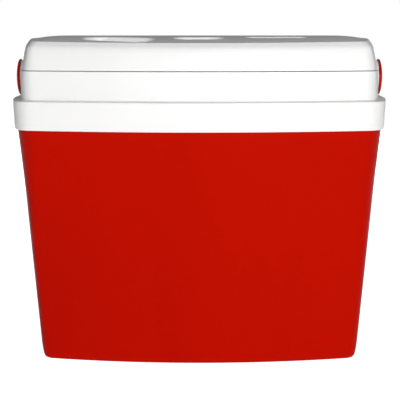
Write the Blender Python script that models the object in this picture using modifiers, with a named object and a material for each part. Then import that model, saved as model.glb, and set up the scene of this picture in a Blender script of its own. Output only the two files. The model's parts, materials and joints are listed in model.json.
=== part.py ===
"""A picnic cooler chest: a tapered outer shell, a rim with a neck and a skirt, an inner tub, foam,
a lift-off lid with cup wells, and a flat bail handle on two side pivots.

Metres, +Z up. The origin is on the floor, midway between the sides; the front faces -Y.
Every wall of the chest follows one bowed plan outline, so a wall is a list of sections, each an
inset from the widest outline and a height.
"""

import math

import bmesh
import bpy

# Driving sizes
HALF_WIDTH = 0.216
HALF_DEPTH = 0.155
FRONT_RADIUS = 0.710
SIDE_RADIUS = 0.500
CORNER_RADIUS = 0.028
SMALLEST_CORNER = 0.012
FRONT_STEPS = 4
CORNER_STEPS = 4
SIDE_STEPS = 3

LEDGE_Z = 0.2961
LEDGE_EDGE_Z = 0.2949
LAND_Z = 0.3278
PARTING_GAP = 0.0006
SKIRT_Z = 0.2634
SHELL_TOP_Z = 0.2860
SHELL_INSET = 0.0044
SHELL_WALL = 0.0025
TUB_WALL = 0.0022
TUB_FLOOR_Z = 0.0220
FLANGE = 0.0018
BASE_DRAFT = 0.006
FOAM_SHOULDER_Z = 0.2850
FOAM_TOP_Z = 0.3195
LID_WALL = 0.0025
HARD_EDGE = math.radians(35)

PIVOT_Z = 0.3175
PIN_RADIUS = 0.0040
BORE_RADIUS = 0.0044
NECK_BORE_X = 0.2055
NECK_BORE_LENGTH = 0.012
HUB_BORE_LENGTH = 0.020
HEAD_RADIUS = 0.0090
CLIP_RADIUS = 0.0060
CLIP_X = 0.2028
POCKET_X = 0.2025
POCKET_DEPTH = 0.0100
POCKET_WIDTH = 0.0260
HUB_RADIUS = 0.0195
CAP_RADIUS = 0.0212
CAP_WALL = 0.0016
HUB_IN = 0.2076
HUB_OUT = 0.2103
SEAT_GAP = 0.0004
CAP_GAP = 0.0003
SEAT_DEPTH = 0.0100
BAR_HALF_HEIGHT = 0.0115
ARM_INSET = 0.0082
BAR_THICKNESS = 0.0056
BAR_SETBACK = 0.0016
REST_GAP = 0.0006

WHITE = (0.86, 0.86, 0.85)
RED = (0.52, 0.01, 0.004)
FOAM = (0.90, 0.90, 0.89)
GREY = (0.45, 0.46, 0.47)


def clear_scene():
    for obj in list(bpy.data.objects):
        bpy.data.objects.remove(obj)


def new_collection(name):
    collection = bpy.data.collections.new(name)
    bpy.context.scene.collection.children.link(collection)
    return collection


def make_material(name, colour, roughness):
    material = bpy.data.materials.new(name)
    material.use_nodes = True
    shader = material.node_tree.nodes["Principled BSDF"]
    shader.inputs["Base Color"].default_value = (*colour, 1.0)
    shader.inputs["Roughness"].default_value = roughness
    shader.inputs["Metallic"].default_value = 0.0
    return material


def add_object(name, bm, collection, material=None, smooth=True):
    bmesh.ops.recalc_face_normals(bm, faces=bm.faces)
    mesh = bpy.data.meshes.new(name)
    bm.to_mesh(mesh)
    bm.free()
    obj = bpy.data.objects.new(name, mesh)
    collection.objects.link(obj)
    if material:
        mesh.materials.append(material)
    if smooth:
        mesh.shade_smooth()
        mesh.set_sharp_from_angle(angle=HARD_EDGE)
    return obj


def make_cutter(obj):
    obj.hide_render = True
    obj.display_type = "WIRE"
    return obj


def add_boolean(obj, other, operation="DIFFERENCE"):
    modifier = obj.modifiers.new(operation.title() + " " + other.name, "BOOLEAN")
    modifier.operation = operation
    modifier.solver = "EXACT"
    modifier.object = other


def arc(centre, radius, start, end, steps):
    """Points along an arc, without its last one."""
    turns = [start + (end - start) * step / steps for step in range(steps)]
    return [(centre[0] + radius * math.cos(t), centre[1] + radius * math.sin(t)) for t in turns]


def quarter_outline(half_x, half_y, front_radius, side_radius, corner):
    """Front middle to side middle: a shallow front arc, a corner fillet and a shallow side arc."""
    corner = min(corner, 0.8 * half_x, 0.8 * half_y)
    front = (0.0, front_radius - half_y)
    side = (half_x - side_radius, 0.0)
    to_front = front_radius - corner
    to_side = side_radius - corner
    apart = math.dist(front, side)
    along = (to_front**2 - to_side**2 + apart**2) / (2 * apart)
    across = math.sqrt(to_front**2 - along**2)
    ux = (side[0] - front[0]) / apart
    uy = (side[1] - front[1]) / apart
    fillet = (front[0] + ux * along - uy * across, front[1] + uy * along + ux * across)
    if fillet[0] < 0:
        fillet = (front[0] + ux * along + uy * across, front[1] + uy * along - ux * across)
    front_end = math.atan2(fillet[1] - front[1], fillet[0] - front[0])
    side_start = math.atan2(fillet[1] - side[1], fillet[0] - side[0])
    points = arc(front, front_radius, -math.pi / 2, front_end, FRONT_STEPS)
    points += arc(fillet, corner, front_end, side_start, CORNER_STEPS)
    points += arc(side, side_radius, side_start, 0.0, SIDE_STEPS)
    return points + [(half_x, 0.0)]


def outline(inset, setback=0.0):
    """The whole plan outline, anticlockwise from the front middle. setback moves front and back in."""
    quarter = quarter_outline(
        HALF_WIDTH - inset,
        HALF_DEPTH - inset - setback,
        FRONT_RADIUS - inset,
        SIDE_RADIUS - inset,
        max(CORNER_RADIUS - inset, SMALLEST_CORNER),
    )
    right = quarter + [(x, -y) for x, y in reversed(quarter[:-1])]
    left = [(-x, y) for x, y in reversed(right[1:-1])]
    return right + left


def base_setback(z):
    """The front and back taper a little more than the sides, from the skirt down."""
    return BASE_DRAFT * max(0.0, 1 - z / SKIRT_Z)


def loft(sections, closed=False):
    """Joins plan outlines. A section is (inset, z) or (inset, z, crown): the crown is the rise
    of the section at y = 0 over its height at the chest's front and back limits."""
    bm = bmesh.new()
    rings = []
    for section in sections:
        inset, z = section[:2]
        crown = section[2] if len(section) > 2 else 0.0
        points = outline(inset, setback=base_setback(z))
        heights = [z + crown * (1 - (y / HALF_DEPTH) ** 2) for x, y in points]
        rings.append([bm.verts.new((x, y, h)) for (x, y), h in zip(points, heights)])
    count = len(rings[0])
    pairs = list(zip(rings, rings[1:]))
    if closed:
        pairs.append((rings[-1], rings[0]))
    else:
        bm.faces.new(rings[0])
        bm.faces.new(rings[-1])
    for low, high in pairs:
        for i in range(count):
            j = (i + 1) % count
            bm.faces.new((low[i], low[j], high[j], high[i]))
    return bm


def turned(name, profile, collection, material=None, steps=24):
    """A turned solid: profile points (radius, height) run from the top down its outer side."""
    mesh = bpy.data.meshes.new(name)
    edges = [(i, i + 1) for i in range(len(profile) - 1)]
    mesh.from_pydata([(radius, 0.0, z) for radius, z in profile], edges, [])
    obj = bpy.data.objects.new(name, mesh)
    collection.objects.link(obj)
    screw = obj.modifiers.new("Screw", "SCREW")
    screw.steps = steps
    screw.render_steps = steps
    screw.use_merge_vertices = True
    screw.merge_threshold = 0.00005
    screw.use_smooth_shade = True
    if material:
        mesh.materials.append(material)
    return obj


def point_outward(obj, side, x, z=PIVOT_Z):
    """Turns a turned piece's +Z to the chest's right (side 1) or left (side -1)."""
    obj.location = (side * x, 0.0, z)
    obj.rotation_euler = (0.0, side * math.pi / 2, 0.0)


def side_word(side):
    return "right" if side > 0 else "left"


def outer_shell(parts, material):
    """The coloured outer wall. It stands on a foot ring round a slightly raised base."""
    outside = [
        (0.0470, 0.0018),
        (0.0450, 0.0000),
        (0.0330, 0.0000),
        (0.0304, 0.0016),
        (0.0289, 0.0052),
        (0.0278, 0.0130),
        (0.0217, 0.0820),
        (0.0160, 0.1480),
        (0.0112, 0.2040),
        (SHELL_INSET, SKIRT_Z),
        (SHELL_INSET, SHELL_TOP_Z),
    ]
    inside = [
        (SHELL_INSET + SHELL_WALL, SHELL_TOP_Z),
        (SHELL_INSET + SHELL_WALL, SKIRT_Z),
        (0.0112 + SHELL_WALL, 0.2040),
        (0.0160 + SHELL_WALL, 0.1480),
        (0.0217 + SHELL_WALL, 0.0820),
        (0.0278 + SHELL_WALL, 0.0130),
        (0.0345, 0.0055),
        (0.0470, 0.0043),
    ]
    return add_object("outer_shell", loft(outside + inside), parts, material)


def body_foam(parts, cutters, material):
    """The expanded foam tub between shell and tub, with a pocket behind each pivot."""
    outside = [
        (0.0480, 0.0050),
        (0.0370, 0.0065),
        (0.0316, 0.0140),
        (0.0251, 0.0820),
        (0.0194, 0.1480),
        (0.0146, 0.2040),
        (0.0078, SKIRT_Z + 0.0010),
        (0.0078, FOAM_SHOULDER_Z),
        (0.0130, FOAM_SHOULDER_Z),
        (0.0130, FOAM_TOP_Z),
    ]
    inside = [
        (0.0212, FOAM_TOP_Z),
        (0.0217, 0.3000),
        (0.0257, 0.2040),
        (0.0305, 0.1480),
        (0.0362, 0.0820),
        (0.0407, 0.0335),
        (0.0440, 0.0225),
        (0.0520, 0.0190),
    ]
    foam = add_object("body_foam", loft(outside + inside), parts, material)
    for side in (-1, 1):
        bpy.ops.mesh.primitive_cube_add(size=1, location=(side * POCKET_X, 0, PIVOT_Z - 0.002))
        pocket = bpy.context.object
        pocket.name = "foam_pocket_" + side_word(side)
        pocket.scale = (POCKET_DEPTH, POCKET_WIDTH, POCKET_WIDTH)
        move_to(pocket, cutters)
        add_boolean(foam, make_cutter(pocket))
    return foam


def move_to(obj, collection):
    for old in list(obj.users_collection):
        old.objects.unlink(obj)
    collection.objects.link(obj)


def inner_tub(parts, material):
    """The food tub, with a flange that rests on the rim's shelf."""
    wall = TUB_WALL
    cavity = [
        (0.0252, LAND_Z),
        (0.0240, LAND_Z - 0.0012),
        (0.0245, 0.3000),
        (0.0285, 0.2040),
        (0.0333, 0.1480),
        (0.0390, 0.0820),
        (0.0435, 0.0340),
        (0.0465, 0.0255),
        (0.0540, TUB_FLOOR_Z),
    ]
    outside = [(inset - wall, z) for inset, z in reversed(cavity[2:-2])]
    foot = [(0.0520, TUB_FLOOR_Z - wall), (0.0450, TUB_FLOOR_Z - wall + 0.0028)]
    flange = [
        (0.0240 - wall, LAND_Z - FLANGE),
        (0.0132, LAND_Z - FLANGE),
        (0.0132, LAND_Z),
    ]
    return add_object("inner_tub", loft(foot + outside + flange + cavity), parts, material)


def rim_collar(parts, cutters, material):
    """The rim: skirt over the shell, ledge, neck and the inner shelf, with two pivot bores."""
    profile = [
        (0.0016, SKIRT_Z),
        (0.0013, SKIRT_Z + 0.0006),
        (0.0000, LEDGE_EDGE_Z - 0.0012),
        (0.0003, LEDGE_EDGE_Z - 0.0004),
        (0.0011, LEDGE_EDGE_Z),
        (0.0084, LEDGE_Z),
        (0.0090, LEDGE_Z + 0.0007),
        (0.0090, LAND_Z - 0.0009),
        (0.0099, LAND_Z),
        (0.0127, LAND_Z),
        (0.0127, LAND_Z - FLANGE - 0.0004),
        (0.0180, LAND_Z - FLANGE - 0.0004),
        (0.0180, LAND_Z - FLANGE - 0.0020),
        (0.0120, LAND_Z - FLANGE - 0.0020),
        (0.0120, LEDGE_Z - 0.0025),
        (0.0030, LEDGE_EDGE_Z - 0.0022),
        (0.0038, SKIRT_Z),
    ]
    rim = add_object("rim_collar", loft(profile, closed=True), parts, material)
    for side in (-1, 1):
        name = "pin_bore_" + side_word(side)
        bore = turned(name, cylinder_profile(BORE_RADIUS, NECK_BORE_LENGTH), cutters)
        point_outward(bore, side, NECK_BORE_X)
        add_boolean(rim, make_cutter(bore))
    return rim


def cylinder_profile(radius, length):
    half = length / 2
    return [(0.0, half), (radius, half), (radius, -half), (0.0, -half)]


def pivot_pin(side, parts, material):
    """A headed pin through the handle's hub and the neck wall."""
    profile = [
        (0.0, 0.0012),
        (HEAD_RADIUS - 0.0004, 0.0012),
        (HEAD_RADIUS, 0.0008),
        (HEAD_RADIUS, 0.0),
        (PIN_RADIUS, 0.0),
        (PIN_RADIUS, -0.0111),
        (PIN_RADIUS - 0.0008, -0.0119),
        (0.0, -0.0119),
    ]
    pin = turned("pivot_pin_" + side_word(side), profile, parts, material)
    point_outward(pin, side, HUB_OUT + SEAT_GAP)
    return pin


def pivot_clip(side, parts, material):
    """The push-on clip that holds the pin, inside the neck wall."""
    half = 0.0006
    profile = [(BORE_RADIUS, half), (CLIP_RADIUS, half), (CLIP_RADIUS, -half), (BORE_RADIUS, -half)]
    clip = turned("pivot_clip_" + side_word(side), profile + profile[:1], parts, material)
    point_outward(clip, side, CLIP_X)
    return clip


def pivot_cap(side, parts, material, handle_frame):
    """The hollow domed cap over the hub and the pin's head. It turns with the handle."""
    dome = [
        (0.0, 0.0053),
        (0.0060, 0.0050),
        (0.0120, 0.0044),
        (0.0165, 0.0036),
        (0.0195, 0.0029),
        (0.0208, 0.0022),
        (CAP_RADIUS, 0.0014),
        (CAP_RADIUS, 0.0),
    ]
    hollow = [
        (CAP_RADIUS - CAP_WALL, 0.0),
        (CAP_RADIUS - CAP_WALL, 0.0011),
        (0.0180, 0.0019),
        (0.0110, 0.0029),
        (0.0, 0.0034),
    ]
    cap = turned("pivot_cap_" + side_word(side), dome + hollow, parts, material, steps=32)
    point_outward(cap, side, HUB_OUT + CAP_GAP, 0.0)
    cap.parent = handle_frame
    return cap


def bail_band():
    """The band in plan: it runs from one hub round the back to the other, at a constant height."""
    count = 2 * (FRONT_STEPS + CORNER_STEPS + SIDE_STEPS)
    start = count // 2
    outer = outline(ARM_INSET - BAR_THICKNESS, setback=-BAR_SETBACK)[start : start + count + 1]
    inner = outline(ARM_INSET, setback=-BAR_SETBACK)[start : start + count + 1]
    bm = bmesh.new()
    verts = [bm.verts.new((x, y, -BAR_HALF_HEIGHT)) for x, y in outer + inner[::-1]]
    face = bm.faces.new(verts)
    raised = bmesh.ops.extrude_face_region(bm, geom=[face])
    top = [item for item in raised["geom"] if isinstance(item, bmesh.types.BMVert)]
    bmesh.ops.translate(bm, verts=top, vec=(0, 0, 2 * BAR_HALF_HEIGHT))
    return bm


def carry_handle(parts, cutters, material, handle_frame):
    """The bail handle: a flat band with a thin round hub at each end, cut back to seat its cap."""
    handle = add_object("carry_handle", bail_band(), parts, material)
    handle.parent = handle_frame
    middle = (HUB_IN + HUB_OUT) / 2
    for side in (-1, 1):
        word = side_word(side)
        hub = turned("hub_" + word, cylinder_profile(HUB_RADIUS, HUB_OUT - HUB_IN), cutters, steps=32)
        bore = turned("hub_bore_" + word, cylinder_profile(BORE_RADIUS, HUB_BORE_LENGTH), cutters)
        seat_profile = cylinder_profile(CAP_RADIUS + SEAT_GAP, SEAT_DEPTH)
        seat = turned("cap_seat_" + word, seat_profile, cutters, steps=32)
        for tool, x in ((hub, middle), (bore, middle), (seat, HUB_OUT + SEAT_DEPTH / 2)):
            point_outward(tool, side, x, 0.0)
            tool.parent = handle_frame
            make_cutter(tool)
        add_boolean(handle, hub, "UNION")
        add_boolean(handle, bore)
        add_boolean(handle, seat)
    return handle


def handle_pivot(parts):
    """The empty on the pivot axis. It leans the handle back until the bar rests on the ledge."""
    reach = HALF_DEPTH - ARM_INSET + BAR_SETBACK + BAR_THICKNESS / 2
    drop = PIVOT_Z - BAR_HALF_HEIGHT - LEDGE_Z - REST_GAP
    pivot = bpy.data.objects.new("handle_pivot", None)
    parts.objects.link(pivot)
    pivot.location = (0.0, 0.0, PIVOT_Z)
    pivot.rotation_euler = (-math.asin(drop / reach), 0.0, 0.0)
    return pivot


# Round-ended wells in the lid's top: name, centre, half length, end radius, turn in degrees, floor z
WELLS = (
    ("slanting_well", (-0.089, -0.092), 0.0425, 0.0220, -19, 0.3530),
    ("oblong_well", (0.000, -0.084), 0.0290, 0.0170, 0, 0.3565),
    ("slot_well", (0.087, -0.070), 0.0350, 0.0100, 0, 0.3580),
)
WELL_STEPS = 12
WELL_TOP = 0.3720


def well_cutter(name, centre, half_length, radius, turn, floor_z, cutters):
    """An upright prism with two round ends, from the well's floor to above the lid."""
    bm = bmesh.new()
    turn = math.radians(turn)
    offset = half_length - radius
    points = []
    for end, start in ((1, -math.pi / 2), (-1, math.pi / 2)):
        middle = (
            centre[0] + end * offset * math.cos(turn),
            centre[1] + end * offset * math.sin(turn),
        )
        start += turn
        points += arc(middle, radius, start, start + math.pi, WELL_STEPS)
        points.append((middle[0] - radius * math.cos(start), middle[1] - radius * math.sin(start)))
    face = bm.faces.new([bm.verts.new((x, y, floor_z)) for x, y in points])
    raised = bmesh.ops.extrude_face_region(bm, geom=[face])
    top = [item for item in raised["geom"] if isinstance(item, bmesh.types.BMVert)]
    bmesh.ops.translate(bm, verts=top, vec=(0, 0, WELL_TOP - floor_z))
    return make_cutter(add_object(name, bm, cutters))


def lid_top(parts, cutters, material):
    """The lid's outer shell, drafted sides rounding into a crowned top, with three wells."""
    side = [
        (0.0108, LAND_Z + PARTING_GAP),
        (0.0102, LAND_Z + PARTING_GAP + 0.0008),
        (0.0123, 0.3406),
        (0.0136, 0.3470, 0.0010),
        (0.0150, 0.3511, 0.0028),
        (0.0165, 0.3532, 0.0042),
        (0.0188, 0.3550, 0.0052),
        (0.0222, 0.3573, 0.0058),
        (0.0260, 0.3568, 0.0064),
    ]
    crown = [
        (0.0370, 0.3568, 0.0080),
        (0.0500, 0.3570, 0.0088),
        (0.0800, 0.3570, 0.0090),
        (0.1200, 0.3570, 0.0090),
    ]
    lid = add_object("lid_top", loft(side + crown), parts, material)
    hollow = [(0.0133, LAND_Z - 0.0050), (0.0133, LAND_Z + 0.0014)]
    hollow += [(section[0] + LID_WALL, section[1] - 0.0004, *section[2:]) for section in side[2:5]]
    hollow += [(0.0205, 0.3516, 0.0040), (0.0260, 0.3540, 0.0056), (0.0370, 0.3543, 0.0078)]
    hollow += [(section[0], section[1] - LID_WALL, section[2]) for section in crown[1:]]
    void = make_cutter(add_object("lid_void", loft(hollow), cutters))
    wells = []
    for name, centre, half_length, radius, turn, floor_z in WELLS:
        outer = (half_length + LID_WALL, radius + LID_WALL, turn, floor_z - LID_WALL)
        add_boolean(void, well_cutter(name + "_boss", centre, *outer, cutters))
        wells.append(well_cutter(name, centre, half_length, radius, turn, floor_z, cutters))
    add_boolean(lid, void)
    for well in wells:
        add_boolean(lid, well)
    return lid


def lid_foam(parts, material):
    """The foam slab inside the lid, under the wells."""
    sections = [
        (0.0300, 0.3160),
        (0.0281, 0.3178),
        (0.0281, 0.3312),
        (0.0150, 0.3312),
        (0.0166, 0.3406),
        (0.0185, 0.3470),
        (0.0200, 0.3490),
    ]
    return add_object("lid_foam", loft(sections), parts, material)


def lid_pan(parts, material):
    """The lid's lower moulding: a flange over the neck and a plug down into the tub's mouth."""
    sections = [
        (0.0290, 0.3130),
        (0.0268, 0.3138),
        (0.0256, 0.3160),
        (0.0254, LAND_Z + PARTING_GAP),
        (0.0137, LAND_Z + PARTING_GAP),
        (0.0137, LAND_Z + PARTING_GAP + 0.0022),
        (0.0275, LAND_Z + PARTING_GAP + 0.0022),
        (0.0275, 0.3170),
        (0.0290, 0.3156),
    ]
    return add_object("lid_pan", loft(sections), parts, material)


def main():
    clear_scene()
    parts = new_collection("cooler_chest")
    cutters = new_collection("cutters")
    white = make_material("white_moulding", WHITE, 0.40)
    red = make_material("red_moulding", RED, 0.35)
    foam = make_material("white_foam", FOAM, 0.85)
    grey = make_material("grey_moulding", GREY, 0.45)

    outer_shell(parts, red)
    body_foam(parts, cutters, foam)
    inner_tub(parts, white)
    rim_collar(parts, cutters, white)
    lid_top(parts, cutters, white)
    lid_foam(parts, foam)
    lid_pan(parts, white)
    handle_frame = handle_pivot(parts)
    carry_handle(parts, cutters, white, handle_frame)
    for side in (-1, 1):
        pivot_pin(side, parts, grey)
        pivot_clip(side, parts, grey)
        pivot_cap(side, parts, red, handle_frame)


main()
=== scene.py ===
# %% [markdown]
# A moulded picnic cooler
#
# The real cooler is a handful of large injection mouldings: a coloured outer shell, a white rim, a
# white food tub, a hollow lid and a flat bail handle. The solid model already says where each one is
# and how it moves. This lesson gives each moulding its fine surface: true curves, small radii on
# every edge, and plastics with the grain that a steel mould leaves.

# %% Load the solid model
import json
import math

import bmesh
import bpy
from mathutils import Matrix, Vector


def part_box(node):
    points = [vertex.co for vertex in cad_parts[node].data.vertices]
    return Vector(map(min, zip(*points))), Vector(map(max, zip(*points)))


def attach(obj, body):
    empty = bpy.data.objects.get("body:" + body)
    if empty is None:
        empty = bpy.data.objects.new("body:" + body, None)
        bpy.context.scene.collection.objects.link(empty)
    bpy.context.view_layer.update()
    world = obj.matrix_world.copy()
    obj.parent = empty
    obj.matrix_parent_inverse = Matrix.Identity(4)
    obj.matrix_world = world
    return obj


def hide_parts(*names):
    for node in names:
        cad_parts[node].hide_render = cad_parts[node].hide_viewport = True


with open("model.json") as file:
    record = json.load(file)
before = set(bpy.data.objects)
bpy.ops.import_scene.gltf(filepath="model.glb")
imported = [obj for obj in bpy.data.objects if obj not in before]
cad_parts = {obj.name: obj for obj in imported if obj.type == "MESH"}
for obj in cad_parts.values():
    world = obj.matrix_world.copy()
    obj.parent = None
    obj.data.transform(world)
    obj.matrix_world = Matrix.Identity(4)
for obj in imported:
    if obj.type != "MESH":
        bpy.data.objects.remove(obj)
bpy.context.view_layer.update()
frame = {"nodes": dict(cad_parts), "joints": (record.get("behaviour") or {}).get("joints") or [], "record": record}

# %% [markdown]
# Every wall of the cooler follows one plan outline: a rectangle whose four sides bow gently outwards
# and whose corners are rounded. Two arcs and a fillet per quarter describe it exactly, so the outline
# is a formula and not a drawing. A wall is then told by how far in it lies from the widest outline,
# and a moulding's section is a short list of such insets with their heights.

# %% Sizes read from the solid model
rim_low, rim_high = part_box("rim_collar")
_, shell_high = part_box("outer_shell")
lid_low, lid_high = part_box("lid_top")
pan_low, pan_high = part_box("lid_pan")
tub_low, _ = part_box("inner_tub")
cap_low, cap_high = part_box("pivot_cap_right")
half_width = rim_high.x
half_depth = rim_high.y
land_z = rim_high.z
skirt_z = rim_low.z
parting_z = lid_low.z
pivot_z = [j for j in frame["joints"] if j["name"] == "handle_swing"][0]["pos_m"][2]
print("half width", round(half_width, 4), "half depth", round(half_depth, 4), "land", round(land_z, 4))
print("pivot height:", pivot_z)

# %% Sizes chosen for every moulding
ledge_above_skirt = 0.0327
ledge_fall = 0.0012
ledge_z = skirt_z + ledge_above_skirt
ledge_edge_z = ledge_z - ledge_fall
front_radius = 0.710
side_radius = 0.500
corner_radius = 0.028
smallest_corner = 0.012
base_draft = 0.006
wall = 0.0025
front_steps = 26
corner_steps = 12
side_steps = 16
print("ledge height:", round(ledge_z, 4), "wall:", wall)


# %% The plan outline
def arc(centre, radius, start, end, steps):
    turns = [start + (end - start) * step / steps for step in range(steps)]
    return [(centre[0] + radius * math.cos(t), centre[1] + radius * math.sin(t)) for t in turns]


def quarter_outline(half_x, half_y, front_arc, side_arc, corner):
    """Front middle to side middle: a shallow arc, a fillet that touches both arcs, a shallow arc."""
    corner = min(corner, 0.8 * half_x, 0.8 * half_y)
    front = (0.0, front_arc - half_y)
    side = (half_x - side_arc, 0.0)
    apart = math.dist(front, side)
    along = ((front_arc - corner) ** 2 - (side_arc - corner) ** 2 + apart**2) / (2 * apart)
    across = math.sqrt((front_arc - corner) ** 2 - along**2)
    ux = (side[0] - front[0]) / apart
    uy = (side[1] - front[1]) / apart
    fillet = (front[0] + ux * along - uy * across, front[1] + uy * along + ux * across)
    if fillet[0] < 0:
        fillet = (front[0] + ux * along + uy * across, front[1] + uy * along - ux * across)
    front_end = math.atan2(fillet[1] - front[1], fillet[0] - front[0])
    side_start = math.atan2(fillet[1] - side[1], fillet[0] - side[0])
    points = arc(front, front_arc, -math.pi / 2, front_end, front_steps)
    points += arc(fillet, corner, front_end, side_start, corner_steps)
    points += arc(side, side_arc, side_start, 0.0, side_steps)
    return points + [(half_x, 0.0)]


def outline(inset, setback=0.0):
    """The whole outline, anticlockwise from the front middle. setback moves front and back in."""
    quarter = quarter_outline(
        half_width - inset,
        half_depth - inset - setback,
        front_radius - inset,
        side_radius - inset,
        max(corner_radius - inset, smallest_corner),
    )
    right = quarter + [(x, -y) for x, y in reversed(quarter[:-1])]
    left = [(-x, y) for x, y in reversed(right[1:-1])]
    return right + left


def plan_ring(step):
    """The outline at one step of a section: its inset, height and crown."""
    inset, z, crown = step
    setback = base_draft * max(0.0, 1 - z / skirt_z)
    return [(x, y, z + crown * (1 - (y / half_depth) ** 2)) for x, y in outline(inset, setback)]


print("points in one outline:", len(outline(0.0)))

# %% [markdown]
# A modeller would draw one ring, extrude it, and lay each new ring where the next outline is. The
# helper below does just that. It starts from a circle, numbers its points in an attribute, which
# extrusion copies, and so each new point knows its own place on the next outline. Mouldings have no
# knife edges, so corners of a section are softened first with a short curve.


# %% Selecting one thing at a time
def deselect():
    if bpy.context.object and bpy.context.object.mode != "OBJECT":
        bpy.ops.object.mode_set(mode="OBJECT")
    bpy.ops.object.select_all(action="DESELECT")


def make_active(piece):
    deselect()
    piece.select_set(True)
    bpy.context.view_layer.objects.active = piece


print("mode:", bpy.context.mode)


# %% Ring by ring: the main modelling helper
def lay_ring(piece, points):
    """Moves each selected point to the place that its number has in points."""
    mesh = bmesh.from_edit_mesh(piece.data)
    number = mesh.verts.layers.int["around"]
    for vert in mesh.verts:
        if vert.select:
            vert.co = points[vert[number]]
    bmesh.update_edit_mesh(piece.data)


def select_border(piece):
    bpy.ops.mesh.select_mode(type="EDGE")
    bpy.ops.mesh.select_all(action="DESELECT")
    bpy.ops.mesh.select_non_manifold(extend=False, use_wire=False, use_multi_face=False)


def mould(name, rings, joined=False):
    """Extrudes a ring through the given rings of points, then caps both ends or joins them."""
    deselect()
    bpy.ops.mesh.primitive_circle_add(vertices=len(rings[0]), fill_type="NOTHING")
    piece = bpy.context.object
    piece.name = name
    piece.data.name = name
    numbers = piece.data.attributes.new("around", "INT", "POINT")
    numbers.data.foreach_set("value", range(len(rings[0])))
    bpy.ops.object.mode_set(mode="EDIT")
    bpy.ops.mesh.select_all(action="SELECT")
    lay_ring(piece, rings[0])
    for points in rings[1:]:
        bpy.ops.mesh.extrude_region_move()
        lay_ring(piece, points)
    select_border(piece)
    if joined:
        bpy.ops.mesh.bridge_edge_loops()
    else:
        bpy.ops.mesh.fill_holes(sides=0)
    bpy.ops.mesh.select_all(action="SELECT")
    bpy.ops.mesh.normals_make_consistent(inside=False)
    bpy.ops.object.mode_set(mode="OBJECT")
    return piece


# %% Softened corners and smooth curves of a section
def softened(corners, steps=5, closed=False):
    """Rounds the corners of a section. A corner is (inset, z, crown, cut), where cut is how far
    from the corner, along both of its sides, the rounding starts."""
    path = []
    for i, (inset, z, crown, cut) in enumerate(corners):
        here = Vector((inset, z, crown))
        inner = closed or 0 < i < len(corners) - 1
        if cut == 0 or not inner:
            path.append(here)
            continue
        start = here + (Vector(corners[i - 1][:3]) - here).normalized() * cut
        end = here + (Vector(corners[(i + 1) % len(corners)][:3]) - here).normalized() * cut
        for step in range(steps + 1):
            t = step / steps
            path.append(start * (1 - t) ** 2 + here * 2 * t * (1 - t) + end * t**2)
    return path


def through(points, steps=4):
    """A smooth curve (Catmull-Rom) through all the points."""
    points = [Vector(p) for p in points]
    padded = [2 * points[0] - points[1]] + points + [2 * points[-1] - points[-2]]
    path = []
    for a, b, c, d in zip(padded, padded[1:], padded[2:], padded[3:]):
        for step in range(steps):
            t = step / steps
            path.append(
                0.5 * (2 * b + (c - a) * t + (2 * a - 5 * b + 4 * c - d) * t**2
                       + (3 * b - a - 3 * c + d) * t**3)
            )
    return path + [points[-1]]


corner_test = [(0, 0, 0, 0), (1, 0, 0, 0.2), (1, 1, 0, 0)]
print("one softened corner takes", len(softened(corner_test)), "points in place of 3")

# %% [markdown]
# Some shapes are cut from a moulding, or joined to it, by a Boolean with a second mesh. The exact
# solver is slow but keeps the mesh closed. It can leave slivers thinner than a hundredth of a
# millimetre where two surfaces nearly meet, so points that close are merged after each cut.


# %% Boolean cuts
sliver = 0.00001


def cut_away(piece, tool, operation="DIFFERENCE"):
    """Applies a Boolean with the tool, removes the tool, and merges the slivers that it left."""
    make_active(piece)
    modifier = piece.modifiers.new("Boolean", "BOOLEAN")
    modifier.operation = operation
    modifier.solver = "EXACT"
    modifier.object = tool
    bpy.ops.object.modifier_apply(modifier=modifier.name)
    bpy.data.objects.remove(tool)
    bpy.ops.object.mode_set(mode="EDIT")
    bpy.ops.mesh.select_all(action="SELECT")
    bpy.ops.mesh.remove_doubles(threshold=sliver)
    bpy.ops.object.mode_set(mode="OBJECT")


print("points closer than", sliver, "m are merged")

# %% [markdown]
# Turned details, such as the pivot caps and bores, use the same helper with round rings about the
# pivot's axis. A profile there is a list of radii with distances along the axis.

# %% Round rings about the pivot axis
round_steps = 72
bore_radius = 0.0044
bore_start = 0.200
neck_bore_end = 0.212
past_hub = 0.220


def pivot_ring(radius, x):
    turns = [2 * math.pi * step / round_steps for step in range(round_steps)]
    return [(x, radius * math.cos(t), pivot_z + radius * math.sin(t)) for t in turns]


def turned(name, profile, side=1):
    """profile holds (radius, x) pairs for the right-hand side. side -1 gives the left-hand one."""
    return mould(name, [pivot_ring(radius, side * x) for radius, x in profile])


print("points in one round ring:", len(pivot_ring(bore_radius, bore_start)))

# %% [markdown]
# Plastics. Polypropylene from a polished mould is satin, never mirror-like. Close up it shows a very
# fine grain, a slow change of gloss where the melt flowed, and faint rubbed patches low down where
# the cooler is set on the ground. All of these are patterns in the piece's own space, so they stay
# put when the lid or the handle moves.


# %% Building blocks of a material
def blank_material(name, colour, roughness, specular=0.5, tint=(1, 1, 1)):
    material = bpy.data.materials.new(name)
    material.use_nodes = True
    shader = material.node_tree.nodes["Principled BSDF"]
    shader.inputs["Base Color"].default_value = (*colour, 1)
    shader.inputs["Roughness"].default_value = roughness
    shader.inputs["Specular IOR Level"].default_value = specular
    shader.inputs["Specular Tint"].default_value = (*tint, 1)
    return material, material.node_tree.nodes, material.node_tree.links, shader


def add_noise(nodes, links, place, scale, detail=3.0, stretch=(1, 1, 1)):
    mapping = nodes.new("ShaderNodeMapping")
    mapping.inputs["Scale"].default_value = stretch
    links.new(place.outputs["Object"], mapping.inputs["Vector"])
    noise = nodes.new("ShaderNodeTexNoise")
    noise.inputs["Scale"].default_value = scale
    noise.inputs["Detail"].default_value = detail
    links.new(mapping.outputs["Vector"], noise.inputs["Vector"])
    return noise


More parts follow.
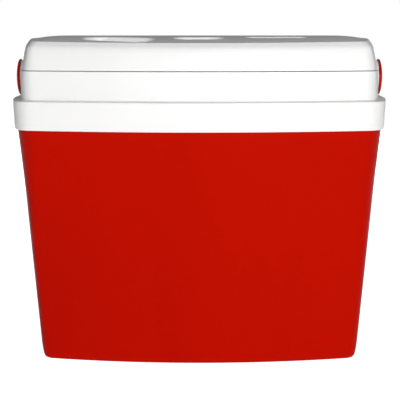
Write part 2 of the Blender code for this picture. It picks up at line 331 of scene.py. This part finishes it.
def add_range(nodes, links, source, low, high, to_low, to_high):
    spread = nodes.new("ShaderNodeMapRange")
    spread.inputs["From Min"].default_value = low
    spread.inputs["From Max"].default_value = high
    spread.inputs["To Min"].default_value = to_low
    spread.inputs["To Max"].default_value = to_high
    links.new(source, spread.inputs["Value"])
    return spread


print("materials so far:", len(bpy.data.materials))


# %% A moulded plastic, node by node
def worn_near_ground(nodes, links, place, rough):
    """Adds fine scratches to the roughness, on the lowest centimetres only."""
    split = nodes.new("ShaderNodeSeparateXYZ")
    links.new(place.outputs["Object"], split.inputs["Vector"])
    near_ground = add_range(nodes, links, split.outputs["Z"], 0.0, 0.035, 1.0, 0.0)
    scratches = add_noise(nodes, links, place, 220.0, 6.0, (0.25, 0.25, 1))
    marks = add_range(nodes, links, scratches.outputs["Fac"], 0.52, 0.66, 0.0, 0.22)
    worn = nodes.new("ShaderNodeMath")
    worn.operation = "MULTIPLY"
    links.new(near_ground.outputs["Result"], worn.inputs[0])
    links.new(marks.outputs["Result"], worn.inputs[1])
    total = nodes.new("ShaderNodeMath")
    total.operation = "ADD"
    links.new(rough, total.inputs[0])
    links.new(worn.outputs["Value"], total.inputs[1])
    return total.outputs["Value"]


def grained(nodes, links, place, shader, grain):
    """A slow wave of the surface under the fine grain of the mould, both as bump."""
    wave = add_noise(nodes, links, place, 16.0, 1.0)
    bump_wave = nodes.new("ShaderNodeBump")
    bump_wave.inputs["Strength"].default_value = 0.25
    bump_wave.inputs["Distance"].default_value = 0.0006
    links.new(wave.outputs["Fac"], bump_wave.inputs["Height"])
    fine = add_noise(nodes, links, place, 1400.0, 2.0)
    bump = nodes.new("ShaderNodeBump")
    bump.inputs["Strength"].default_value = 0.35
    bump.inputs["Distance"].default_value = grain
    links.new(fine.outputs["Fac"], bump.inputs["Height"])
    links.new(bump_wave.outputs["Normal"], bump.inputs["Normal"])
    links.new(bump.outputs["Normal"], shader.inputs["Normal"])


def moulded_plastic(name, colour, shade, roughness, grain, specular=0.5, low_wear=False, tint=(1, 1, 1)):
    """colour and shade are the two ends of a slow mottle; grain is the depth of the mould's texture."""
    material, nodes, links, shader = blank_material(name, colour, roughness, specular, tint)
    place = nodes.new("ShaderNodeTexCoord")
    flow = add_noise(nodes, links, place, 9.0, 4.0, (1, 1, 0.35))
    blend = nodes.new("ShaderNodeMix")
    blend.data_type = "RGBA"
    blend.inputs["A"].default_value = (*shade, 1)
    blend.inputs["B"].default_value = (*colour, 1)
    amount = add_range(nodes, links, flow.outputs["Fac"], 0.35, 0.65, 0.0, 1.0)
    links.new(amount.outputs["Result"], blend.inputs["Factor"])
    links.new(blend.outputs["Result"], shader.inputs["Base Color"])

    gloss = add_noise(nodes, links, place, 60.0, 5.0, (1, 1, 0.6))
    rubbed = add_range(nodes, links, gloss.outputs["Fac"], 0.3, 0.7, roughness - 0.05, roughness + 0.07)
    rough = rubbed.outputs["Result"]
    if low_wear:
        rough = worn_near_ground(nodes, links, place, rough)
    links.new(rough, shader.inputs["Roughness"])
    grained(nodes, links, place, shader, grain)
    return material


# %% The plastics of this cooler
warm_tint = (1.0, 0.25, 0.08)
red_shell = moulded_plastic("red_shell", (0.455, 0.0033, 0.0001), (0.432, 0.0028, 0.0001), 0.46,
                            0.00012, 0.10, True, warm_tint)
red_gloss = moulded_plastic("red_gloss", (0.47, 0.0036, 0.0002), (0.44, 0.0030, 0.0002), 0.22,
                            0.00003, 0.40, False, warm_tint)
white_rim = moulded_plastic("white_rim", (0.86, 0.86, 0.855), (0.835, 0.837, 0.835), 0.38, 0.00008)
white_lid = moulded_plastic("white_lid", (0.86, 0.86, 0.855), (0.835, 0.837, 0.835), 0.42, 0.00014)
white_tub = moulded_plastic("white_tub", (0.85, 0.855, 0.86), (0.82, 0.826, 0.832), 0.32, 0.00003)
white_bail = moulded_plastic("white_bail", (0.85, 0.85, 0.845), (0.82, 0.822, 0.82), 0.36, 0.00006)
grey_acetal = moulded_plastic("grey_acetal", (0.42, 0.43, 0.44), (0.38, 0.39, 0.40), 0.34, 0.00003)
print("plastics:", len(bpy.data.materials))

# %% [markdown]
# Expanded foam is made of beads a few millimetres across, pressed together until they meet in flat
# faces. A Voronoi pattern has just that look, so its distance to the cell edge gives both the thin
# grey lines between the beads and the small hollows along them.


# %% Foam
def bead_foam(name):
    material, nodes, links, shader = blank_material(name, (0.88, 0.88, 0.87), 0.8, 0.3)
    place = nodes.new("ShaderNodeTexCoord")
    beads = nodes.new("ShaderNodeTexVoronoi")
    beads.feature = "DISTANCE_TO_EDGE"
    beads.inputs["Scale"].default_value = 240.0
    links.new(place.outputs["Object"], beads.inputs["Vector"])
    edge = add_range(nodes, links, beads.outputs["Distance"], 0.0, 0.12, 0.0, 1.0)
    blend = nodes.new("ShaderNodeMix")
    blend.data_type = "RGBA"
    blend.inputs["A"].default_value = (0.62, 0.62, 0.61, 1)
    blend.inputs["B"].default_value = (0.88, 0.88, 0.87, 1)
    links.new(edge.outputs["Result"], blend.inputs["Factor"])
    links.new(blend.outputs["Result"], shader.inputs["Base Color"])
    bump = nodes.new("ShaderNodeBump")
    bump.inputs["Strength"].default_value = 0.6
    bump.inputs["Distance"].default_value = 0.0005
    links.new(edge.outputs["Result"], bump.inputs["Height"])
    links.new(bump.outputs["Normal"], shader.inputs["Normal"])
    return material


foam = bead_foam("bead_foam")
print("foam material:", foam.name)

# %% [markdown]
# Each new moulding takes the place of one node of the solid model and rides on the same body, so it
# moves with the same joint. The foam, the pins and the clips are plain shapes that are already right
# in the solid model, and they only get a material.


# %% Finishing a piece, and the pieces that stay as they are
smooth_below = math.radians(32)


def wear_material(piece, material):
    piece.data.materials.clear()
    piece.data.materials.append(material)


def report(piece):
    piece.data.calc_loop_triangles()
    size = [round(1000 * n, 1) for n in piece.dimensions]
    print(piece.name, "size mm", size, "triangles", len(piece.data.loop_triangles))


def finish_piece(piece, body, material, node):
    wear_material(piece, material)
    make_active(piece)
    bpy.ops.object.shade_smooth_by_angle(angle=smooth_below)
    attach(piece, body)
    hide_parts(node)
    report(piece)


for node, material in (("body_foam", foam), ("lid_foam", foam), ("pivot_pin_left", grey_acetal),
                       ("pivot_pin_right", grey_acetal), ("pivot_clip_left", grey_acetal),
                       ("pivot_clip_right", grey_acetal)):
    wear_material(frame["nodes"][node], material)
    print(node, "wears", material.name)

# %% [markdown]
# The outer shell is one tapered tub. It narrows towards the base so that it leaves the mould and
# stacks, and it stands on a foot ring, with the middle of the base raised a little. One profile runs
# from the raised base, over the foot ring, up the outside, over the top edge and down the inside.

# %% Outer shell
shell_inset = 0.0044
base_raise = 0.0018
shell_side = [
    (0.0217, 0.0820, 0, 0.028),
    (0.0160, 0.1480, 0, 0.028),
    (0.0112, 0.2040, 0, 0.024),
]
shell_outside = [
    (0.0800, base_raise, 0, 0),
    (0.0475, base_raise, 0, 0.0010),
    (0.0450, 0.0000, 0, 0.0008),
    (0.0312, 0.0000, 0, 0.0030),
    (0.0289, 0.0052, 0, 0.0024),
    (0.0278, 0.0130, 0, 0.0040),
    *shell_side,
    (shell_inset, skirt_z, 0, 0.006),
    (shell_inset, shell_high.z, 0, 0.0008),
]
shell_inside = [
    (shell_inset + wall, shell_high.z, 0, 0.0008),
    (shell_inset + wall, skirt_z, 0, 0.006),
    *[(inset + wall, z, crown, cut) for inset, z, crown, cut in reversed(shell_side)],
    (0.0303, 0.0130, 0, 0.004),
    (0.0345, 0.0055, 0, 0.003),
    (0.0470, 0.0043, 0, 0),
]
shell_rings = [plan_ring(step) for step in softened(shell_outside + shell_inside, steps=6)]
shell = mould("outer_shell_moulding", shell_rings)
finish_piece(shell, "chest", red_shell, "outer_shell")

# %% [markdown]
# The rim is the piece that holds the rest together. Its skirt hides the shell's top edge, the ledge
# carries the resting handle, the neck holds the pivots, and a small shelf inside takes the tub's
# flange. The ledge falls a little outwards, so that rain runs off it. The section is a closed loop,
# so its last ring is bridged back to its first.

# %% Rim
flange = 0.0018
neck_inside = 0.0127
shelf_edge = 0.0180
shelf_z = land_z - flange - 0.0004
shelf_under_z = land_z - flange - 0.0020
rim_section = [
    (0.0013, skirt_z, 0, 0.0007),
    (0.0000, skirt_z + 0.0260, 0, 0.0040),
    (0.0000, ledge_edge_z, 0, 0.0009),
    (0.0088, ledge_z, 0, 0.0007),
    (0.0090, land_z, 0, 0.0010),
    (neck_inside, land_z, 0, 0.0004),
    (neck_inside, shelf_z, 0, 0),
    (shelf_edge, shelf_z, 0, 0.0004),
    (shelf_edge, shelf_under_z, 0, 0.0004),
    (0.0120, shelf_under_z, 0, 0.0010),
    (0.0120, ledge_z - wall, 0, 0.0010),
    (0.0029, ledge_edge_z - 0.0022, 0, 0.0014),
    (0.0038, skirt_z, 0, 0.0007),
]
rim = mould("rim_moulding", [plan_ring(s) for s in softened(rim_section, closed=True)], joined=True)
for side in (-1, 1):
    cut_away(rim, turned("bore_tool", [(bore_radius, bore_start), (bore_radius, neck_bore_end)], side))
finish_piece(rim, "chest", white_rim, "rim_collar")

# %% [markdown]
# The tub drops into the rim from above and hangs by a thin flange. Its walls lean in towards a
# rounded floor, which makes it easy to wipe out.

# %% Food tub
tub_wall = 0.0022
flange_inset = 0.0132
cavity_side = [
    (0.0245, 0.3000, 0, 0.012),
    (0.0285, 0.2040, 0, 0.024),
    (0.0333, 0.1480, 0, 0.028),
    (0.0390, 0.0820, 0, 0.020),
]
floor_z = tub_low.z + tub_wall
tub_section = [
    (0.0700, tub_low.z, 0, 0),
    (0.0480, tub_low.z, 0, 0.006),
    (0.0412, 0.0300, 0, 0.006),
    *[(inset - tub_wall, z, crown, cut) for inset, z, crown, cut in reversed(cavity_side)],
    (0.0218, land_z - flange, 0, 0.0010),
    (flange_inset, land_z - flange, 0, 0.0004),
    (flange_inset, land_z, 0, 0.0004),
    (0.0238, land_z, 0, 0.0016),
    *cavity_side,
    (0.0434, 0.0320, 0, 0.0100),
    (0.0520, floor_z, 0, 0.0090),
    (0.0900, floor_z, 0, 0),
]
tub = mould("food_tub_moulding", [plan_ring(s) for s in softened(tub_section, steps=7)])
finish_piece(tub, "chest", white_tub, "inner_tub")

# %% [markdown]
# The lid is a hollow cap. Its sides lean in, roll over a generous edge and run into a top that is
# crowned from front to back, so that water runs off. A smooth curve through a few section points
# gives that roll without a visible join, and one tighter corner marks where the top begins. The last
# rings shrink towards the middle and keep to the crown, so the top has no flat spot.

# %% Lid: the section's points
lid_foot = (0.0102, parting_z, 0, 0.0008)
lid_side = [
    (0.0123, 0.3406, 0.0),
    (0.0136, 0.3470, 0.0010),
    (0.0150, 0.3511, 0.0028),
    (0.0165, 0.3532, 0.0042),
    (0.0185, 0.3550, 0.0052),
]
lid_crease = (0.0209, 0.3572, 0.0058)
lid_crown = [
    (0.0260, 0.3568, 0.0064),
    (0.0370, 0.3568, 0.0080),
    (0.0500, 0.3570, 0.0088),
    (0.0650, 0.3570, 0.0090),
    (0.0800, 0.3570, 0.0090),
]
crease_round = 0.0009
middle_shrinks = (0.86, 0.72, 0.58, 0.44, 0.30, 0.18, 0.08, 0.02)
print("lid section points:", len(lid_side) + len(lid_crown) + 3)

# %% Lid: outside
under_lid = (0.0800, parting_z, 0, 0)
up_the_side = [(*p, 0) for p in through(lid_side + [lid_crease])[:-1]]
over_the_top = [(*p, 0) for p in through([lid_crease] + lid_crown)[1:]]
lid_corners = [under_lid, lid_foot] + up_the_side + [(*lid_crease, crease_round)] + over_the_top
lid_rings = [plan_ring(step) for step in softened(lid_corners)]
inset, top_z, crown = lid_crown[-1]
for shrink in middle_shrinks:
    plan = [(x * shrink, y * shrink) for x, y in outline(inset)]
    lid_rings.append([(x, y, top_z + crown * (1 - (y / half_depth) ** 2)) for x, y in plan])
lid = mould("lid_top_moulding", lid_rings)
report(lid)

# %% [markdown]
# The underside of the lid is hollow. Its hollow is a second, smaller lid shape that will be cut out
# of the first one, and that leaves a wall of much the same thickness all over.

# %% Lid: the shape of its hollow
mouth_inset = 0.0133
hollow_path = [(mouth_inset, land_z - 0.0050, 0), (mouth_inset, parting_z + 0.0012, 0)]
hollow_path += through([
    (0.0148, 0.3402, 0),
    (0.0162, 0.3465, 0.0012),
    (0.0205, 0.3514, 0.0040),
    (0.0260, 0.3536, 0.0056),
    (0.0370, 0.3543, 0.0078),
    (0.0500, 0.3545, 0.0088),
    (0.0800, 0.3545, 0.0090),
    (0.1200, 0.3545, 0.0090),
])
hollow = mould("hollow_tool", [plan_ring(step) for step in hollow_path])
report(hollow)

# %% [markdown]
# Three round-ended wells are sunk in the front half of the top. Their rims follow the crown, so each
# tool's upper rings take their height from the lid itself, by looking straight down on it. The tool
# flares there, which leaves a rounded lip. Its flare ends just clear of the surface, because a
# Boolean goes wrong where an edge of the tool lies exactly in a face. A second, wider prism is taken
# from the hollow first, and leaves a wall round each well.

# %% Lid: the shape of a well
well_steps = 28
bend_steps = 5
lip = 0.0013
well_foot = 0.0030
clear_of_top = 0.00004
wide_grow = lip * 1.3
above_lid = 0.004
boss_rise = 0.01


def well_outline(centre, half_length, radius, turn, grow=0.0):
    """Two half circles joined by straight sides, turned about the centre."""
    points = []
    for end, start in ((1, turn - math.pi / 2), (-1, turn + math.pi / 2)):
        offset = end * (half_length - radius)
        middle = (centre[0] + offset * math.cos(turn), centre[1] + offset * math.sin(turn))
        points += arc(middle, radius + grow, start, start + math.pi * (1 + 1 / well_steps), well_steps + 1)
    return points


def height_on(piece, x, y):
    """The height of the piece's top at x, y."""
    _, place, _, _ = piece.ray_cast((x, y, 0.5), (0, 0, -1))
    return place.z


def well_tool(shape, floor):
    """A prism with a rounded foot and a flare that follows the lid's top."""
    quarter_turn = [step / bend_steps * math.pi / 2 for step in range(bend_steps + 1)]
    rings = []
    for t in quarter_turn:
        plan = well_outline(*shape, grow=-well_foot * (1 - math.sin(t)))
        rings.append([(x, y, floor + well_foot * (1 - math.cos(t))) for x, y in plan])
    for t in quarter_turn:
        flare = well_outline(*shape, grow=lip * (1 - math.cos(t)))
        drop = lip * (1 - math.sin(t)) - clear_of_top
        rings.append([(x, y, height_on(lid, x, y) - drop) for x, y in flare])
    wide = well_outline(*shape, grow=wide_grow)
    rings.append([(x, y, height_on(lid, x, y) + above_lid) for x, y in wide])
    return mould("well_tool", rings)


def boss_tool(shape, floor):
    """The outside of a well's wall, which the lid's hollow leaves standing."""
    plan = well_outline(*shape, grow=wall)
    heights = (floor - wall, lid_high.z + boss_rise)
    return mould("boss_tool", [[(x, y, z) for x, y in plan] for z in heights])


print("points round a well:", len(well_outline((0, 0), 0.04, 0.02, 0.0)))

# %% [markdown]
# The places and floors of the wells come from the solid model's openings. The open box starts a
# little above each floor.

# %% Lid: cutting the hollow and the wells
openings = {o["name"]: o["box_m"] for o in frame["record"]["physics"]["openings"]}
# name: half length, end radius, turn from the lid's width
wells = {
    "slanting_well": (0.0425, 0.0220, math.radians(-19)),
    "oblong_well": (0.0290, 0.0170, 0.0),
    "slot_well": (0.0350, 0.0100, 0.0),
}
box_gap = 0.0004
well_tools = []
for name, (half_length, end_radius, slant) in wells.items():
    low, high = openings[name]
    centre = ((low[0] + high[0]) / 2, (low[1] + high[1]) / 2)
    shape = (centre, half_length, end_radius, slant)
    floor = low[2] - box_gap
    cut_away(hollow, boss_tool(shape, floor))
    well_tools.append(well_tool(shape, floor))
    print(name, "centre", [round(c, 4) for c in centre], "floor", round(floor, 4))
cut_away(lid, hollow)
for tool in well_tools:
    cut_away(lid, tool)
finish_piece(lid, "lid", white_lid, "lid_top")

# %% [markdown]
# Under the lid a second moulding closes it: a flange that rests on the neck, and a plug that reaches
# down into the tub's mouth and keeps the warm air out.

# %% Lid pan
plate_raise = 0.0010
pan_rim_inset = 0.0137
pan_section = [
    (0.0800, pan_low.z + plate_raise, 0, 0),
    (0.0310, pan_low.z + plate_raise, 0, 0.0010),
    (0.0290, pan_low.z, 0, 0.0010),
    (0.0256, pan_low.z, 0, 0.0022),
    (0.0254, parting_z, 0, 0.0010),
    (pan_rim_inset, parting_z, 0, 0.00035),
    (pan_rim_inset, pan_high.z, 0, 0.00035),
    (0.0275, pan_high.z, 0, 0.0010),
    (0.0278, pan_low.z + 0.0025, 0, 0.0010),
    (0.0800, pan_low.z + 0.0028, 0, 0),
]
pan = mould("lid_pan_moulding", [plan_ring(step) for step in softened(pan_section)])
finish_piece(pan, "lid", white_lid, "lid_pan")

# %% [markdown]
# The handle is a flat band, bent round the back of the neck, with a hub at each end. Its outer face
# is a shallow channel between two raised edges, which stiffens it with little plastic. The band is
# one section carried along the plan outline. The hubs are turned and joined on, and a round seat is
# cut for each cap.

# %% Handle: sizes
arm_inset = 0.0082
bar_thickness = 0.0056
bar_half_height = 0.0115
bar_setback = 0.0016
edge_width = 0.0034
edge_foot = 0.0042
channel_depth = 0.0009
rest_gap = 0.0006
hub_in = 0.2076
hub_out = cap_low.x - 0.0003
hub_radius = 0.0195
cap_radius = (cap_high.z - cap_low.z) / 2
seat_gap = 0.0004
reach = half_depth - arm_inset + bar_setback + bar_thickness / 2
lean = -math.asin((pivot_z - bar_half_height - ledge_z - rest_gap) / reach)
print("the resting handle leans", round(math.degrees(lean), 2), "degrees")

# %% [markdown]
# The handle's section has two numbers for each corner: how far out it lies from the middle of the
# band, and how high. It is softened like the others. The band starts and ends at the middle of the
# two sides and runs round the back, tipped about the pivots until it rests on the ledge.

# %% Handle: the band
half = bar_thickness / 2
band_section = [
    (-half, -bar_half_height, 0, 0.0014),
    (half, -bar_half_height, 0, 0.0012),
    (half, -bar_half_height + edge_width, 0, 0.0008),
    (half - channel_depth, -bar_half_height + edge_foot, 0, 0.0006),
    (half - channel_depth, bar_half_height - edge_foot, 0, 0.0006),
    (half, bar_half_height - edge_width, 0, 0.0008),
    (half, bar_half_height, 0, 0.0012),
    (-half, bar_half_height, 0, 0.0014),
]
band_points = softened(band_section, steps=4, closed=True)
full = outline(arm_inset - half, -bar_setback)
start = len(full) // 4
route = full[start : start + len(full) // 2 + 1]


def across(i):
    """The outward direction of the route in plan at point i."""
    if i in (0, len(route) - 1):
        return Vector((1, 0)) if i == 0 else Vector((-1, 0))
    ahead = Vector(route[i + 1]) - Vector(route[i - 1])
    return Vector((ahead.y, -ahead.x)).normalized()


turn = Matrix.Translation((0, 0, pivot_z)) @ Matrix.Rotation(lean, 4, "X")
band_rings = []
for i, (x, y) in enumerate(route):
    out = across(i)
    band_rings.append([turn @ Vector((x + out.x * u, y + out.y * u, v)) for u, v, _ in band_points])
bail = mould("bail_handle", band_rings)
report(bail)

# %% Handle: hubs, bores and cap seats
hub_edge = 0.0006
hub_profile = [
    (hub_radius - hub_edge, hub_in),
    (hub_radius, hub_in + hub_edge),
    (hub_radius, hub_out - hub_edge),
    (hub_radius - hub_edge, hub_out),
]
for side in (-1, 1):
    cut_away(bail, turned("hub_tool", hub_profile, side), "UNION")
    cut_away(bail, turned("bore_tool", [(bore_radius, bore_start), (bore_radius, past_hub)], side))
    seat = [(cap_radius + seat_gap, hub_out), (cap_radius + seat_gap, past_hub)]
    cut_away(bail, turned("seat_tool", seat, side))
finish_piece(bail, "handle", white_bail, "carry_handle")

# %% [markdown]
# The caps are the only small red pieces. Each is a hollow shallow dome that hides the hub and the
# pin's head, moulded in the shell's colour but from a polished tool. Its profile runs from the apex
# over the dome, round the thin rim and back up the inside.

# %% Pivot caps
apex = cap_high.x
cap_wall = 0.0016
rim_round = 0.0003
cap_profile = [
    (0.0030, apex - 0.00006),
    (0.0060, apex - 0.00022),
    (0.0090, apex - 0.00050),
    (0.0120, apex - 0.00090),
    (0.0145, apex - 0.00132),
    (0.0165, apex - 0.00172),
    (0.0183, apex - 0.00214),
    (0.0196, apex - 0.00256),
    (0.0204, apex - 0.00300),
    (0.0209, apex - 0.00350),
    (cap_radius, apex - 0.00420),
    (cap_radius, cap_low.x + rim_round),
    (cap_radius - rim_round, cap_low.x),
    (cap_radius - 0.0014, cap_low.x),
    (cap_radius - cap_wall, cap_low.x + rim_round),
    (cap_radius - cap_wall, cap_low.x + 0.0011),
    (0.0180, cap_low.x + 0.0019),
    (0.0110, cap_low.x + 0.0029),
    (0.0030, cap_low.x + 0.0034),
]
for side in (-1, 1):
    word = "right" if side > 0 else "left"
    cap = turned("pivot_cap_" + word + "_dome", cap_profile, side)
    finish_piece(cap, "handle", red_gloss, "pivot_cap_" + word)

# %% [markdown]
# The studio floor is a pale plane, a hair below the foot ring so that the two do not flicker. It
# glows a little of its own accord, more to the camera than to the cooler, so that it reads as an
# even white sheet without lighting the red shell from below.

# %% Floor
floor_size = 80
floor_gap = 0.0002
deselect()
bpy.ops.mesh.primitive_plane_add(size=floor_size, location=(0, 0, -floor_gap))
floor_plane = bpy.context.object
floor_plane.name = "studio_floor"
floor_material, nodes, links, shader = blank_material("pale_floor", (0.85, 0.85, 0.85), 0.7, 0.2)
shader.inputs["Emission Color"].default_value = (1, 1, 1, 1)
floor_rays = nodes.new("ShaderNodeLightPath")
glow = add_range(nodes, links, floor_rays.outputs["Is Camera Ray"], 0.0, 1.0, 0.28, 0.97)
links.new(glow.outputs["Result"], shader.inputs["Emission Strength"])
floor_plane.data.materials.append(floor_material)
print("floor size", floor_size, "m")

# %% [markdown]
# A large soft light stands in front and a little to the right, a weaker one on the left, a faint one
# overhead and one behind. Faces that look forwards are bright, and faces that look up stay a quiet
# grey, which shows off the steps of the rim. The light behind is left out of reflections.


# %% Lights
def softbox(name, place, aim, size, power):
    light = bpy.data.lights.new(name, "AREA")
    light.shape = "RECTANGLE"
    light.size, light.size_y = size
    light.energy = power
    lamp = bpy.data.objects.new(name, light)
    bpy.context.scene.collection.objects.link(lamp)
    lamp.location = place
    lamp.rotation_euler = (Vector(aim) - Vector(place)).to_track_quat("-Z", "Y").to_euler()
    print(name, power, "W")
    return lamp


middle = (0, 0, 0.18)
softbox("front_light", (0.75, -3.1, 0.93), middle, (2.0, 0.8), 76)
softbox("left_light", (-2.4, -2.2, 0.70), middle, (1.6, 0.8), 7)
softbox("top_light", (0.0, 0.4, 2.6), middle, (2.0, 2.0), 1.6)
back_light = softbox("back_light", (0.6, 3.2, 0.70), middle, (2.4, 0.8), 44)
back_light.visible_glossy = False

# %% [markdown]
# The sky lights the cooler only faintly, but the camera sees it white, like the floor, so that no
# horizon shows.

# %% Sky
world = bpy.data.worlds.new("studio")
bpy.context.scene.world = world
world.use_nodes = True
nodes, links = world.node_tree.nodes, world.node_tree.links
sky = nodes["Background"]
sky.inputs["Color"].default_value = (1, 1, 1, 1)
sky.inputs["Strength"].default_value = 0.12
bright = nodes.new("ShaderNodeBackground")
bright.inputs["Color"].default_value = (1, 1, 1, 1)
bright.inputs["Strength"].default_value = 1.0
sky_rays = nodes.new("ShaderNodeLightPath")
either = nodes.new("ShaderNodeMixShader")
links.new(sky_rays.outputs["Is Camera Ray"], either.inputs["Fac"])
links.new(sky.outputs["Background"], either.inputs[1])
links.new(bright.outputs["Background"], either.inputs[2])
links.new(either.outputs["Shader"], nodes["World Output"].inputs["Surface"])
print("sky strength", round(sky.inputs["Strength"].default_value, 2))

# %% [markdown]
# The camera stands level with the lid, a metre and a half away, and looks down a little. A long lens
# keeps the sides of the cooler nearly upright.

# %% Camera
look_down = 7.67
camera_data = bpy.data.cameras.new("camera")
camera_data.lens = 113.4
camera_data.sensor_width = 36
camera = bpy.data.objects.new("camera", camera_data)
bpy.context.scene.collection.objects.link(camera)
camera.location = (0.0006, -1.5, 0.372)
camera.rotation_euler = (math.radians(90 - look_down), 0, 0)
bpy.context.scene.camera = camera
bpy.context.scene.view_settings.view_transform = "Standard"
print("camera", [round(c, 3) for c in camera.location])
